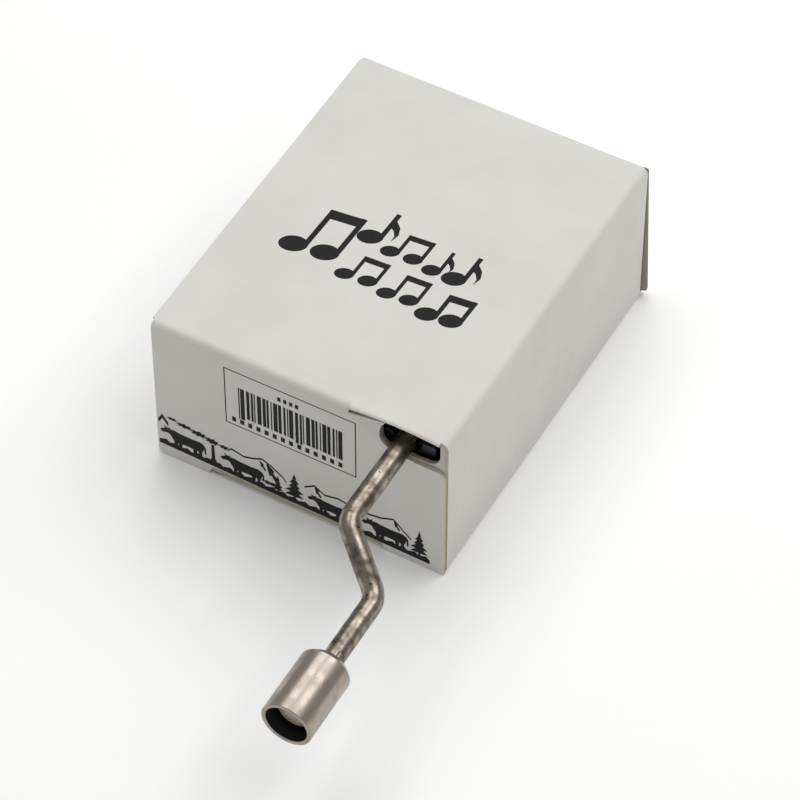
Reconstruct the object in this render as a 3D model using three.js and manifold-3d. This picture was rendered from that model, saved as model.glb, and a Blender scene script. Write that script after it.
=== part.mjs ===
import * as THREE from "three";
import { mergeVertices } from "three/addons/utils/BufferGeometryUtils.js";
import Module from "manifold-3d";

const wasm = await Module();
wasm.setup();

// ---------- driving sizes, in millimetres ----------
// Carton: X across the crank end, Y along the length (crank end at -Y), Z up from its underside.
const WIDTH = 40;
const DEPTH = 51.5;
const HEIGHT = 23.5;
const CARD = 0.5;
const LAYER_GAP = 0.05;
const FOLD_RADIUS = 0.9;
const GLUE_TAB = 9;
const GLUE_MARGIN = 1;
const FLAP_SIDE_GAP = 0.2;
const CUT_GAP = 0.1;
const CREASE_GAP = 0.02;
const TAB_LENGTH = 9;
const TAB_HEIGHT = 1.25;
const TAB_SIDE_GAP = 0.9;
const FOOT_LEFT = 7.3;
const FOOT_RIGHT = 8.2;
const DUST_TIP_FROM_MIDDLE = 2.5;
const DUST_LOWER_EDGE = 3.2;
const LIP_START = 13;
const SLOT_TO_LEFT = 2.95;
const SLOT_TO_RIGHT = 4.85;
const SLOT_GAP = 0.15;

// Crank: a wire bent twice, its shaft along Y.
const WIRE_R = 1.3;
const WIRE_BEND_R = 2.6;
const SHAFT_FROM_SIDE = 5.95;
const SHAFT_PAST_BUSH = 1.6;
const ARM_OUT = 12.55;
const ARM_STEP = [6.55, -5.1, -4.5];
const KNOB_START = 15.7;
const KNOB_LENGTH = 9.7;
const KNOB_R = 3.2;
const KNOB_BORE_R = 2.65;
const KNOB_BORE_DEPTH = 2.6;
const KNOB_BEVEL = 0.9;
const HEAD_GAP = 0.6;
const HEAD_THICK = 0.8;
const HEAD_PLAY = 0.15;
const EAR_OUT = 0.35;
const EAR_LENGTH = 1.1;
const EAR_PLAY = 0.2;
const RUN_GAP = 0.05;
const SEAT_GAP = 0.03;

// Movement: cylinder along X under the shaft, comb behind it.
const WHEEL_TEETH = 24;
const WHEEL_LIFT = 4.4;
const WHEEL_FACE = 2.6;
const WORM_WALL = 0.8;
const WORM_LENGTH = 7.2;
const WORM_TOP_GAP = 0.12;
const ADDENDUM = 0.4;
const DEDENDUM = 0.55;
const BACKLASH = 0.39;
const WHEEL_POST_GAP = 0.8;
const CYL_UNDER_WHEEL = 0.7;
const CYL_WALL = 0.6;
const CYL_SIDE_GAP = 1.5;
const CYL_WHEEL_GAP = 2.2;
const DISC_THICK = 1.2;
const DISC_INSET = 0.2;
const PIN_OUT = 0.9;
const PIN_R = 0.19;
const ARBOR_R = 1;
const TRACKS = 18;
const TRACK_MARGIN = 1.07;
const COMB_GAP = 0.1;
const TOOTH_SLIT = 0.27;
const TREBLE_TO_BASS = 0.56;
const COMB_BODY_THICK = 2;
const COMB_FROM_BACK = 2.7;
const CLAMP_THICK = 0.8;
const CLAMP_DEPTH = 4;
const COMB_SCREW_APART = 15;
const COMB_SCREW_R = 0.95;
const COMB_SEAT_DEPTH = 8;
const BED_SIDE_GAP = 0.9;
const BED_END_GAP = 0.5;
const BED_LOW = 2.3;
const BED_THICK = 1.3;
const POST_THICK = 2;
const CRADLE_WALL = 1.8;
const BUSH_WALL = 0.6;
const BUSH_FLANGE = 0.5;
const SADDLE_THICK = 0.35;
const SADDLE_SCREW_R = 0.4;
const FOOT_PAD_R = 2;
const WEIGHTS = 6;

// ---------- positions that follow from them ----------
const HALF_W = WIDTH / 2;
const FRONT = -DEPTH / 2;
const BACK = DEPTH / 2;
const INNER_FRONT = FRONT + CARD;
const INNER_BACK = BACK - CARD;
const BUSH_R = WIRE_R + BUSH_WALL;
const CRADLE_HALF = BUSH_R + CRADLE_WALL;
const WORM_PITCH_R = WIRE_R + WORM_WALL;
const SHAFT_X = HALF_W - SHAFT_FROM_SIDE;
const SHAFT_Z = HEIGHT - CARD - WORM_TOP_GAP - ADDENDUM - WORM_PITCH_R;
const WHEEL_PITCH_R = (SHAFT_Z - WORM_PITCH_R - ADDENDUM - WHEEL_LIFT) / 2;
const LEAD = (2 * Math.PI * WHEEL_PITCH_R) / WHEEL_TEETH;
const TOOTH_THICK = (LEAD - BACKLASH) / 2;
const CYL_Z = SHAFT_Z - WHEEL_PITCH_R - WORM_PITCH_R;
const CYL_R = WHEEL_PITCH_R - CYL_UNDER_WHEEL;
const PIN_TIP_R = CYL_R + PIN_OUT;
const BED_X = HALF_W - CARD - BED_SIDE_GAP;
const BED_Y = BACK - 2 * CARD - LAYER_GAP - BED_END_GAP;
const BED_TOP = BED_LOW + BED_THICK;
const LEFT_POST = [-BED_X + 4.4, -BED_X + 4.4 + POST_THICK];
const RIGHT_POST = [SHAFT_X + WHEEL_FACE / 2 + 1.2, BED_X - 0.3];
const FRONT_POST = [-BED_Y, -BED_Y + POST_THICK];
const WHEEL_TIP_R = WHEEL_PITCH_R + ADDENDUM;
const CYL_Y = FRONT_POST[1] + WHEEL_POST_GAP + WHEEL_TIP_R;
const REAR_POST = [CYL_Y + WHEEL_TIP_R + 1, CYL_Y + WHEEL_TIP_R + 1 + POST_THICK];
const SHAFT_BACK_Y = REAR_POST[1] + SHAFT_PAST_BUSH;
const CYL_LEFT = LEFT_POST[1] + CYL_SIDE_GAP;
const CYL_RIGHT = SHAFT_X - WHEEL_FACE / 2 - CYL_WHEEL_GAP;
const TRACK_PITCH = (CYL_RIGHT - CYL_LEFT - 2 * TRACK_MARGIN) / TRACKS;
const TOOTH_WIDTH = TRACK_PITCH - TOOTH_SLIT;
const COMB_X = (CYL_LEFT + CYL_RIGHT) / 2;
const COMB_TIP_Y = CYL_Y + PIN_TIP_R + COMB_GAP;
const COMB_BACK_Y = BED_Y - COMB_FROM_BACK;
const COMB_SEAT_Y = COMB_BACK_Y + 0.9 - COMB_SEAT_DEPTH;
const COMB_SCREW_Y = COMB_BACK_Y - 3.3;
const BASS_TOOTH = COMB_SEAT_Y - 1.6 - COMB_TIP_Y;
const TREBLE_TOOTH = BASS_TOOTH * TREBLE_TO_BASS;
const COMB_LOW = CYL_Z + 0.2 - COMB_BODY_THICK / 2;
const COMB_TOP = COMB_LOW + COMB_BODY_THICK;
const BEND_1 = new THREE.Vector3(SHAFT_X, FRONT - ARM_OUT, SHAFT_Z);
const BEND_2 = BEND_1.clone().add(new THREE.Vector3(...ARM_STEP));
const KNOB_NEAR = BEND_1.y - KNOB_START;
const KNOB_FAR = KNOB_NEAR - KNOB_LENGTH;
const HEAD_R = KNOB_BORE_R - HEAD_GAP;
const SLOT_LEFT = SHAFT_X - SLOT_TO_LEFT;
const SLOT_RIGHT = SHAFT_X + SLOT_TO_RIGHT;
const SLOT_LOW = SHAFT_Z - WIRE_R - SLOT_GAP;
const LUG_X = CRADLE_HALF - CRADLE_WALL / 2;

// ---------- materials ----------
const colour = (hex, metalness, roughness) =>
  new THREE.MeshStandardMaterial({ color: hex, metalness, roughness });
const CARD_WHITE = colour(0xdcd9d3, 0, 0.6);
const GLUE = colour(0xd8cfae, 0, 0.4);
const NICKEL = colour(0xb4aea4, 1, 0.3);
const ZINC = colour(0x5c6066, 0.8, 0.5);
const BRASS = colour(0xc9a24f, 1, 0.3);
const STEEL = colour(0x9aa0a6, 1, 0.35);
const LEAD_GREY = colour(0x6f7278, 0.6, 0.7);
const BLACK_PLASTIC = colour(0x1d1d20, 0, 0.5);

// ---------- geometry helpers ----------
const BASES = {
  x: [[0, 1, 0], [0, 0, 1], [1, 0, 0]],
  y: [[0, 0, 1], [1, 0, 0], [0, 1, 0]],
  z: [[1, 0, 0], [0, 1, 0], [0, 0, 1]],
};

// Matrix that takes (u, v, w) to the row frame with w along the named axis.
function basis(axis) {
  const [u, v, w] = BASES[axis].map((c) => new THREE.Vector3(...c));
  return new THREE.Matrix4().makeBasis(u, v, w);
}

// The outline's points as vectors, turning the way asked for.
function wound(outline, clockwise) {
  const points = outline.map(([u, v]) => new THREE.Vector2(u, v));
  return THREE.ShapeUtils.isClockWise(points) === clockwise ? points : points.reverse();
}

// Extrudes an outline along an axis from one value to another.
// The outline is (y, z) for axis x, (z, x) for axis y and (x, y) for axis z.
function prism(axis, from, to, outline, holes = []) {
  const shape = new THREE.Shape(wound(outline, false));
  for (const hole of holes)
    shape.holes.push(new THREE.Path(wound(hole, true)));
  const g = new THREE.ExtrudeGeometry(shape, { depth: to - from, bevelEnabled: false });
  return g.translate(0, 0, from).applyMatrix4(basis(axis));
}

// A flat plate in the XZ plane: the outline is (x, z).
function plateXZ(y0, y1, outline, holes = []) {
  const turn = (points) => points.map(([x, z]) => [z, x]);
  return prism("y", y0, y1, turn(outline), holes.map(turn));
}

function block(x0, x1, y0, y1, z0, z1) {
  const g = new THREE.BoxGeometry(x1 - x0, y1 - y0, z1 - z0);
  return g.translate((x0 + x1) / 2, (y0 + y1) / 2, (z0 + z1) / 2);
}

function arc(u, v, r, start, end, steps) {
  const points = [];
  for (let i = 0; i <= steps; i++) {
    const a = THREE.MathUtils.degToRad(start + ((end - start) * i) / steps);
    points.push([u + r * Math.cos(a), v + r * Math.sin(a)]);
  }
  return points;
}

const circle = (u, v, r, steps = 24) => arc(u, v, r, 0, 360, steps).slice(0, -1);

// Corner radius of a 16-sided hole that clears a round shaft by a hundredth.
const snug = (r) => (r + 0.01) / Math.cos(Math.PI / 16);

function roundedRect(u0, u1, v0, v1, r) {
  return [
    ...arc(u1 - r, v1 - r, r, 0, 90, 4),
    ...arc(u0 + r, v1 - r, r, 90, 180, 4),
    ...arc(u0 + r, v0 + r, r, 180, 270, 4),
    ...arc(u1 - r, v0 + r, r, 270, 360, 4),
  ];
}

// Joins rings of equal length into one closed body; outline is the flat shape of a ring.
function loft(rings, outline) {
  const n = outline.length;
  const points = rings.flat();
  const faces = [];
  for (let k = 0; k + 1 < rings.length; k++)
    for (let j = 0; j < n; j++) {
      const a = k * n + j;
      const b = k * n + ((j + 1) % n);
      faces.push(a, b, b + n, a, b + n, a + n);
    }
  const cap = THREE.ShapeUtils.triangulateShape(
    outline.map(([u, v]) => new THREE.Vector2(u, v)),
    [],
  );
  const last = (rings.length - 1) * n;
  for (const [a, b, c] of cap) {
    faces.push(a, c, b);
    faces.push(last + a, last + b, last + c);
  }
  const g = new THREE.BufferGeometry().setFromPoints(points);
  g.setIndex(faces);
  g.computeVertexNormals();
  return g;
}

// A prism whose outline turns as it rises: turn(t) is the angle at share t of the length.
function twisted(axis, from, to, outline, layers, turn) {
  const rings = [];
  const toRow = basis(axis);
  for (let k = 0; k <= layers; k++) {
    const t = k / layers;
    const c = Math.cos(turn(t));
    const s = Math.sin(turn(t));
    const w = from + (to - from) * t;
    rings.push(outline.map(([u, v]) =>
      new THREE.Vector3(u * c - v * s, u * s + v * c, w).applyMatrix4(toRow)));
  }
  return loft(rings, outline);
}

// A turned piece on an axis parallel to Y, from a closed (radius, y) profile.
function turned(profile, x, z, steps = 36) {
  const points = profile.map(([r, y]) => new THREE.Vector2(r, y));
  return new THREE.LatheGeometry(points, steps).translate(x, 0, z);
}

function toSolid(geometry) {
  const g = geometry.clone();
  g.deleteAttribute("normal");
  g.deleteAttribute("uv");
  const merged = mergeVertices(g, 1e-4);
  return new wasm.Manifold(new wasm.Mesh({
    numProp: 3,
    vertProperties: merged.attributes.position.array,
    triVerts: new Uint32Array(merged.index.array),
  }));
}

function toGeometry(solid) {
  const m = solid.getMesh();
  const points = new Float32Array(m.numVert * 3);
  for (let i = 0; i < m.numVert; i++)
    for (let k = 0; k < 3; k++)
      points[i * 3 + k] = m.vertProperties[i * m.numProp + k];
  const g = new THREE.BufferGeometry();
  g.setAttribute("position", new THREE.BufferAttribute(points, 3));
  g.setIndex(new THREE.BufferAttribute(m.triVerts, 1));
  const flat = g.toNonIndexed();
  flat.computeVertexNormals();
  return flat;
}

// First geometry, plus the others, minus the cuts.
function combine(base, added = [], cuts = []) {
  let solid = toSolid(base);
  for (const g of added)
    solid = solid.add(toSolid(g));
  for (const g of cuts)
    solid = solid.subtract(toSolid(g));
  return toGeometry(solid);
}

const group = new THREE.Group();
group.name = "cylinder_music_box";

function place(name, geometry, material) {
  const mesh = new THREE.Mesh(geometry, material);
  mesh.name = name;
  group.add(mesh);
}

// ---------- carton ----------
// Section of the folded sleeve: one strip from the glue tab round to the top panel's free edge.
function sleeveOutline() {
  const r = FOLD_RADIUS;
  const ri = FOLD_RADIUS - CARD;
  const seam = HEIGHT - CARD - LAYER_GAP;
  return [
    [-HALF_W, HEIGHT],
    ...arc(HALF_W - r, HEIGHT - r, r, 90, 0, 5),
    ...arc(HALF_W - r, r, r, 0, -90, 5),
    ...arc(-HALF_W + r, r, r, 270, 180, 5),
    ...arc(-HALF_W + r, seam - r, r, 180, 90, 5),
    [-HALF_W + GLUE_TAB, seam],
    [-HALF_W + GLUE_TAB, seam - CARD],
    ...arc(-HALF_W + r, seam - r, ri, 90, 180, 3),
    ...arc(-HALF_W + r, r, ri, 180, 270, 3),
    ...arc(HALF_W - r, r, ri, -90, 0, 3),
    ...arc(HALF_W - r, HEIGHT - r, ri, 0, 90, 3),
    [-HALF_W, HEIGHT - CARD],
  ];
}

// The top panel's front edge beside the front flap's cut, a loose lip over the slot.
function carton() {
  const sleeve = plateXZ(INNER_FRONT, INNER_BACK, sleeveOutline());
  const lip = block(HALF_W - LIP_START, HALF_W - FOLD_RADIUS, FRONT, INNER_FRONT, HEIGHT - CARD, HEIGHT);
  place("carton_sleeve", combine(sleeve, [lip]), CARD_WHITE);
  const seam = block(
    -HALF_W + GLUE_MARGIN + 0.5, -HALF_W + GLUE_TAB - GLUE_MARGIN / 2,
    INNER_FRONT + GLUE_MARGIN, INNER_BACK - GLUE_MARGIN,
    HEIGHT - CARD - LAYER_GAP, HEIGHT - CARD);
  place("seam_glue", seam, GLUE);
}

// Lower edge of a closing flap as its outside shows it, left to right: foot, tab crease, foot.
function flapLowerEdge(crease) {
  const x = HALF_W - FLAP_SIDE_GAP;
  const left = -HALF_W + FOOT_LEFT;
  const right = HALF_W - FOOT_RIGHT;
  return [
    ...arc(-x + 1, 1, 1, 180, 270, 4),
    [left, 0],
    [left + 0.6, crease],
    [right - 0.6, crease],
    [right, 0],
    [x, 0],
  ];
}

// A tuck tab: a knuckle on the crease, then a tongue that runs inwards.
function tuckTab(name, crease, side) {
  const r = CARD / 2;
  const inwards = crease - side * TAB_LENGTH;
  const round = arc(crease, TAB_HEIGHT, r, 90, side > 0 ? -90 : 270, 8);
  const outline = [
    ...round,
    [inwards, TAB_HEIGHT - r],
    [inwards, TAB_HEIGHT + r],
  ];
  const [footLow, footHigh] = side < 0 ? [FOOT_LEFT, FOOT_RIGHT] : [FOOT_RIGHT, FOOT_LEFT];
  const left = -HALF_W + footLow + TAB_SIDE_GAP;
  const right = HALF_W - footHigh - TAB_SIDE_GAP;
  const tongue = prism("x", left, right, outline);
  const near = crease - side * (CARD + 0.6);
  const y0 = Math.min(near, inwards);
  const y1 = Math.max(near, inwards);
  const side0 = HALF_W - CARD - TAB_SIDE_GAP;
  const wide = block(-side0, side0, y0, y1, TAB_HEIGHT - r, TAB_HEIGHT + r);
  place(name, combine(tongue, [wide]), CARD_WHITE);
}

// The notch in the front flap: round left end, open upwards, stepped down on the right.
function frontFlap() {
  const x = HALF_W - FLAP_SIDE_GAP;
  const cut = HEIGHT - CARD - CUT_GAP;
  const r = (cut - SLOT_LOW) / 2;
  const outline = [
    ...flapLowerEdge(TAB_HEIGHT + CARD / 2 + CREASE_GAP),
    ...arc(x - 1.2, SLOT_LOW - 1.7, 1.2, 0, 90, 5),
    [SHAFT_X + 2.2, SLOT_LOW - 0.5],
    [SHAFT_X + 1.2, SLOT_LOW],
    ...arc(SLOT_LEFT + r, SLOT_LOW + r, r, 270, 90, 8),
    [HALF_W - LIP_START, cut],
    [HALF_W - LIP_START, HEIGHT],
    [-x, HEIGHT],
  ];
  place("front_flap", plateXZ(FRONT, INNER_FRONT, outline), CARD_WHITE);
  tuckTab("front_tuck_tab", FRONT + CARD / 2, -1);
}

function backFlap() {
  const x = HALF_W - FLAP_SIDE_GAP;
  const hingeZ = HEIGHT - CARD / 2;
  const outline = [
    ...flapLowerEdge(TAB_HEIGHT + CARD / 2 + CREASE_GAP),
    [x, hingeZ],
    [-x, hingeZ],
  ].map(([across, up]) => [-across, up]);
  const knuckle = prism("x", -x, x, circle(BACK - CARD / 2, hingeZ, CARD / 2, 16));
  const low = TAB_HEIGHT + CARD / 2 + CREASE_GAP;
  const bevel = prism("x", -HALF_W + FOOT_RIGHT, HALF_W - FOOT_LEFT, [
    [BACK + 0.1, low - 0.1],
    [BACK, low],
    [INNER_BACK, low + 0.36],
    [INNER_BACK - 0.1, low + 0.36],
    [INNER_BACK - 0.1, low - 0.1],
  ]);
  const plate = plateXZ(INNER_BACK, BACK, outline);
  place("back_flap", combine(plate, [knuckle], [bevel]), CARD_WHITE);
  tuckTab("back_tuck_tab", BACK - CARD / 2, 1);
}

// A dust flap lies just inside a closing flap, hinged on a side panel's inner face.
function dustFlap(name, side, y0, holes = [], notch = null) {
  const hinge = side * (HALF_W - CARD);
  const tip = side * DUST_TIP_FROM_MIDDLE;
  const top = HEIGHT - CARD - 0.15 - (side < 0 ? CARD + LAYER_GAP : 0);
  const outline = [
    [hinge, DUST_LOWER_EDGE],
    [tip + side * 3, DUST_LOWER_EDGE],
    [tip, DUST_LOWER_EDGE + 3],
    [tip, top - 2],
    [tip + side * 2, top],
    [hinge, top],
  ];
  const plate = plateXZ(y0, y0 + CARD, outline, holes);
  place(name, notch ? combine(plate, [], [notch]) : plate, CARD_WHITE);
}

function dustFlaps() {
  const y0 = INNER_FRONT + LAYER_GAP;
  const y1 = INNER_BACK - LAYER_GAP - CARD;
  const r = (HEIGHT - CARD - SLOT_LOW) / 2 - 0.3;
  const slot = [
    ...arc(SLOT_LEFT + r, SLOT_LOW + r, r, 270, 180, 5),
    [SLOT_LEFT, HEIGHT],
    [SLOT_RIGHT, HEIGHT],
    ...arc(SLOT_RIGHT - r, SLOT_LOW + r, r, 0, -90, 5),
  ];
  dustFlap("front_dust_flap_right", 1, y0, [], plateXZ(y0 - 1, y0 + CARD + 1, slot));
  dustFlap("front_dust_flap_left", -1, y0);
  dustFlap("back_dust_flap_right", 1, y1);
  dustFlap("back_dust_flap_left", -1, y1);
}

// ---------- crank ----------
// Rings of a round wire along two straight-sided bends, with a headed end.
function crankWire() {
  const start = new THREE.Vector3(SHAFT_X, SHAFT_BACK_Y, SHAFT_Z);
  const headBack = new THREE.Vector3(BEND_2.x, KNOB_FAR + KNOB_BORE_DEPTH - HEAD_PLAY, BEND_2.z);
  const corners = [start, BEND_1, BEND_2, headBack];
  const side = new THREE.Vector3()
    .crossVectors(new THREE.Vector3(0, -1, 0), new THREE.Vector3(...ARM_STEP))
    .normalize();
  const section = circle(0, 0, 1, 16);
  const rings = [];
  const ring = (at, along, r) => {
    const up = new THREE.Vector3().crossVectors(along, side);
    rings.push(section.map(([u, v]) =>
      at.clone().addScaledVector(side, u * r).addScaledVector(up, v * r)));
  };
  const out = new THREE.Vector3(0, -1, 0);
  ring(start, out, WIRE_R - 0.25);
  ring(start.clone().add(new THREE.Vector3(0, -0.25, 0)), out, WIRE_R);
  for (const i of [1, 2]) {
    const a = corners[i].clone().sub(corners[i - 1]).normalize();
    const b = corners[i + 1].clone().sub(corners[i]).normalize();
    const half = a.angleTo(b) / 2;
    const reach = WIRE_BEND_R * Math.tan(half);
    const inner = b.clone().sub(a).normalize();
    const centre = corners[i].clone().addScaledVector(inner, WIRE_BEND_R / Math.cos(half));
    const steps = 6;
    for (let k = 0; k <= steps; k++) {
      const turn = -half + (2 * half * k) / steps;
      const dir = a.clone().add(b).normalize();
      const radial = inner.clone().negate();
      const at = centre.clone()
        .addScaledVector(radial, WIRE_BEND_R * Math.cos(turn))
        .addScaledVector(dir, WIRE_BEND_R * Math.sin(turn));
      const along = dir.clone().multiplyScalar(Math.cos(turn))
        .addScaledVector(radial, -Math.sin(turn));
      if (reach > 0)
        ring(at, along, WIRE_R);
    }
  }
  ring(headBack, out, WIRE_R);
  ring(headBack, out, HEAD_R - 0.1);
  ring(headBack.clone().add(new THREE.Vector3(0, -0.15, 0)), out, HEAD_R);
  ring(headBack.clone().add(new THREE.Vector3(0, -HEAD_THICK + 0.15, 0)), out, HEAD_R);
  ring(headBack.clone().add(new THREE.Vector3(0, -HEAD_THICK, 0)), out, HEAD_R - 0.3);
  const ears = [-1, 1].map((s) => {
    const x = [BEND_2.x + s * (WIRE_R - 0.3), BEND_2.x + s * (WIRE_R + EAR_OUT)].sort((a, b) => a - b);
    const y = KNOB_NEAR + EAR_PLAY;
    return block(x[0], x[1], y, y + EAR_LENGTH, BEND_2.z - 0.3, BEND_2.z + 0.3);
  });
  place("crank_wire", combine(loft(rings, section), ears), NICKEL);
}

function knob() {
  const hole = WIRE_R + RUN_GAP;
  const floor = KNOB_FAR + KNOB_BORE_DEPTH;
  const profile = [
    [hole, KNOB_NEAR],
    [hole, floor],
    [KNOB_BORE_R, floor],
    [KNOB_BORE_R, KNOB_FAR + 0.1],
    [KNOB_BORE_R + 0.1, KNOB_FAR],
    [KNOB_R - 0.15, KNOB_FAR],
    [KNOB_R, KNOB_FAR + 0.15],
    [KNOB_R, KNOB_NEAR - KNOB_BEVEL],
    [KNOB_R - KNOB_BEVEL, KNOB_NEAR],
    [hole, KNOB_NEAR],
  ];
  place("knob", turned(profile, BEND_2.x, BEND_2.z), NICKEL);
}

// Section of a one-start worm, as a cam: crest, flank, root, flank round one turn.
function wormOutline() {
  const crest = WORM_PITCH_R + ADDENDUM;
  const root = WORM_PITCH_R - DEDENDUM;
  const slope = Math.tan(THREE.MathUtils.degToRad(20));
  const half = (r) => (360 * (TOOTH_THICK / 2 - (r - WORM_PITCH_R) * slope)) / LEAD;
  const onCrest = half(crest);
  const onRoot = half(root);
  const polar = arc(0, 0, crest, -onCrest, onCrest, 4);
  const flank = [1, 2].map((k) => [crest + ((root - crest) * k) / 3, onCrest + ((onRoot - onCrest) * k) / 3]);
  for (const [r, angle] of flank)
    polar.push(...arc(0, 0, r, angle, angle, 1).slice(1));
  polar.push(...arc(0, 0, root, onRoot, 360 - onRoot, 6));
  for (const [r, angle] of flank.reverse())
    polar.push(...arc(0, 0, r, 360 - angle, 360 - angle, 1).slice(1));
  return polar;
}

function worm() {
  const y0 = CYL_Y - WORM_LENGTH / 2;
  const y1 = CYL_Y + WORM_LENGTH / 2;
  const layers = Math.round((WORM_LENGTH / LEAD) * 15);
  const turn = (t) => (2 * Math.PI * (y0 + (y1 - y0) * t - CYL_Y)) / LEAD;
  const thread = twisted("y", y0, y1, wormOutline(), layers, turn);
  thread.translate(SHAFT_X, 0, SHAFT_Z);
  const bore = plateXZ(y0 - 1, y1 + 1, circle(SHAFT_X, SHAFT_Z, snug(WIRE_R), 16));
  place("worm", combine(thread, [], [bore]), BRASS);
}

function thrustCollar() {
  const y0 = FRONT_POST[1] + BUSH_FLANGE + 0.25;
  const ring = plateXZ(y0, y0 + 1, 
    circle(SHAFT_X, SHAFT_Z, BUSH_R + 0.1), [circle(SHAFT_X, SHAFT_Z, snug(WIRE_R), 16)]);
  place("thrust_collar", ring, STEEL);
}

// ---------- cylinder ----------
const trackX = (t) => COMB_X + (t - (TRACKS - 1) / 2) * TRACK_PITCH;

// Pins stand where the tune asks: a fixed number sequence spreads them round each track.
function tunePins() {
  const pins = [];
  let seed = 7;
  for (let t = 0; t < TRACKS; t++) {
    const count = 4 + (t % 3);
    for (let k = 0; k < count; k++) {
      seed = (seed * 73 + 41) % 1009;
      const angle = ((k + 0.15 + 0.7 * (seed / 1009)) / count) * 360;
      pins.push([trackX(t), angle]);
    }
  }
  return pins;
}

function cylinder() {
  const inner = circle(0, 0, CYL_R - CYL_WALL, 32);
  const tube = prism("x", CYL_LEFT, CYL_RIGHT, circle(0, 0, CYL_R, 48), [inner]);
  const pins = tunePins().map(([x, angle]) => {
    const pin = prism("z", CYL_R - CYL_WALL / 2, PIN_TIP_R, circle(0, 0, PIN_R, 5));
    pin.rotateX(THREE.MathUtils.degToRad(angle));
    return pin.translate(x, 0, 0);
  });
  const solid = combine(tube, pins).translate(0, CYL_Y, CYL_Z);
  place("cylinder", solid, BRASS);
}

function cylinderEnds() {
  const rim = circle(CYL_Y, CYL_Z, CYL_R - CYL_WALL - 0.02, 32);
  const hole = [circle(CYL_Y, CYL_Z, snug(ARBOR_R), 16)];
  const ends = [["left", CYL_LEFT + DISC_INSET], ["right", CYL_RIGHT - DISC_INSET - DISC_THICK]];
  for (const [side, x] of ends)
    place("cylinder_disc_" + side, prism("x", x, x + DISC_THICK, rim, hole), STEEL);
  const journals = circle(CYL_Y, CYL_Z, ARBOR_R, 16);
  place("arbor", prism("x", LEFT_POST[0] - 0.4, RIGHT_POST[1] + 0.1, journals), STEEL);
}

function wheelOutline() {
  const points = [];
  const tip = WHEEL_PITCH_R + ADDENDUM;
  const root = WHEEL_PITCH_R - DEDENDUM;
  const half = TOOTH_THICK / 2;
  const spots = [[root, half + 0.16], [WHEEL_PITCH_R, half], [tip, half - 0.17]];
  for (let i = 0; i < WHEEL_TEETH; i++) {
    const mid = Math.PI / 2 + (i * 2 * Math.PI) / WHEEL_TEETH;
    const flank = (side) => spots.map(([r, share]) => [
      r * Math.cos(mid + (side * share) / r),
      r * Math.sin(mid + (side * share) / r),
    ]);
    points.push(...flank(-1), ...flank(1).reverse());
  }
  return points;
}

function wormWheel() {
  const x0 = SHAFT_X - WHEEL_FACE / 2;
  const x1 = SHAFT_X + WHEEL_FACE / 2;
  const slope = LEAD / (2 * Math.PI * WORM_PITCH_R) / WHEEL_PITCH_R;
  const turn = (t) => WHEEL_FACE * (t - 0.5) * slope;
  const teeth = twisted("x", x0, x1, wheelOutline(), 2, turn).translate(0, CYL_Y, CYL_Z);
  const hub = prism("x", CYL_RIGHT + 0.3, x0 + 0.5, circle(CYL_Y, CYL_Z, ARBOR_R + 2, 24));
  const bore = prism("x", CYL_RIGHT - 1, x1 + 1, circle(CYL_Y, CYL_Z, snug(ARBOR_R), 16));
  place("worm_wheel", combine(teeth, [hub], [bore]), BRASS);
}

// ---------- comb ----------
const toothLength = (t) => BASS_TOOTH + ((TREBLE_TOOTH - BASS_TOOTH) * t) / (TRACKS - 1);

const combScrewX = (s) => COMB_X + (s * COMB_SCREW_APART) / 2;
const combScrewHole = (s, r) => circle(combScrewX(s), COMB_SCREW_Y, r, 16);

function comb() {
  const half = (TRACKS / 2) * TRACK_PITCH;
  const rootBass = COMB_TIP_Y + BASS_TOOTH;
  const rootTreble = COMB_TIP_Y + TREBLE_TOOTH;
  const plate = prism("z", COMB_LOW, COMB_TOP, [
    [COMB_X - half, rootBass],
    [COMB_X + half, rootTreble],
    [COMB_X + half + 1, COMB_BACK_Y],
    [COMB_X - half - 1, COMB_BACK_Y],
  ]);
  const teeth = [];
  for (let t = 0; t < TRACKS; t++) {
    const x = trackX(t);
    const root = COMB_TIP_Y + toothLength(t);
    const thin = root - toothLength(t) * 0.35;
    const profile = [
      [COMB_TIP_Y, CYL_Z - 0.22],
      [thin, CYL_Z - 0.18],
      [root - 1.5, CYL_Z - 0.5],
      [root + 1, CYL_Z - 0.5],
      [root + 1, CYL_Z + 0.5],
      [root - 1.5, CYL_Z + 0.5],
      [thin, CYL_Z + 0.22],
      [COMB_TIP_Y, CYL_Z + 0.22],
    ];
    teeth.push(prism("x", x - TOOTH_WIDTH / 2, x + TOOTH_WIDTH / 2, profile));
  }
  const holes = [-1, 1].map((s) =>
    prism("z", COMB_LOW - 1, COMB_TOP + 1, combScrewHole(s, COMB_SCREW_R + 0.2)));
  place("comb", combine(plate, teeth, holes), STEEL);
  for (let t = 0; t < WEIGHTS; t++) {
    const x = trackX(t);
    const deep = 2.6 - 0.3 * t;
    const y = COMB_TIP_Y + 0.6;
    const top = CYL_Z - 0.22;
    const weight = block(x - TOOTH_WIDTH / 2 + 0.02, x + TOOTH_WIDTH / 2 - 0.02, y, y + 4.2 - 0.4 * t, top - deep, top);
    place("comb_weight_" + (t + 1), weight, LEAD_GREY);
  }
}

// A slotted pan-head screw along Z.
function screw(name, x, y, seat, shankR, headR, headH, length) {
  const shank = prism("z", seat - length, seat + 0.1, circle(x, y, shankR, 16));
  const head = prism("z", seat, seat + headH, circle(x, y, headR, 20));
  const slotHalf = headR * 0.16;
  const slot = block(x - headR - 1, x + headR + 1, y - slotHalf, y + slotHalf, seat + headH * 0.5, seat + headH + 1);
  place(name, combine(shank, [head], [slot]), STEEL);
}

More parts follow.
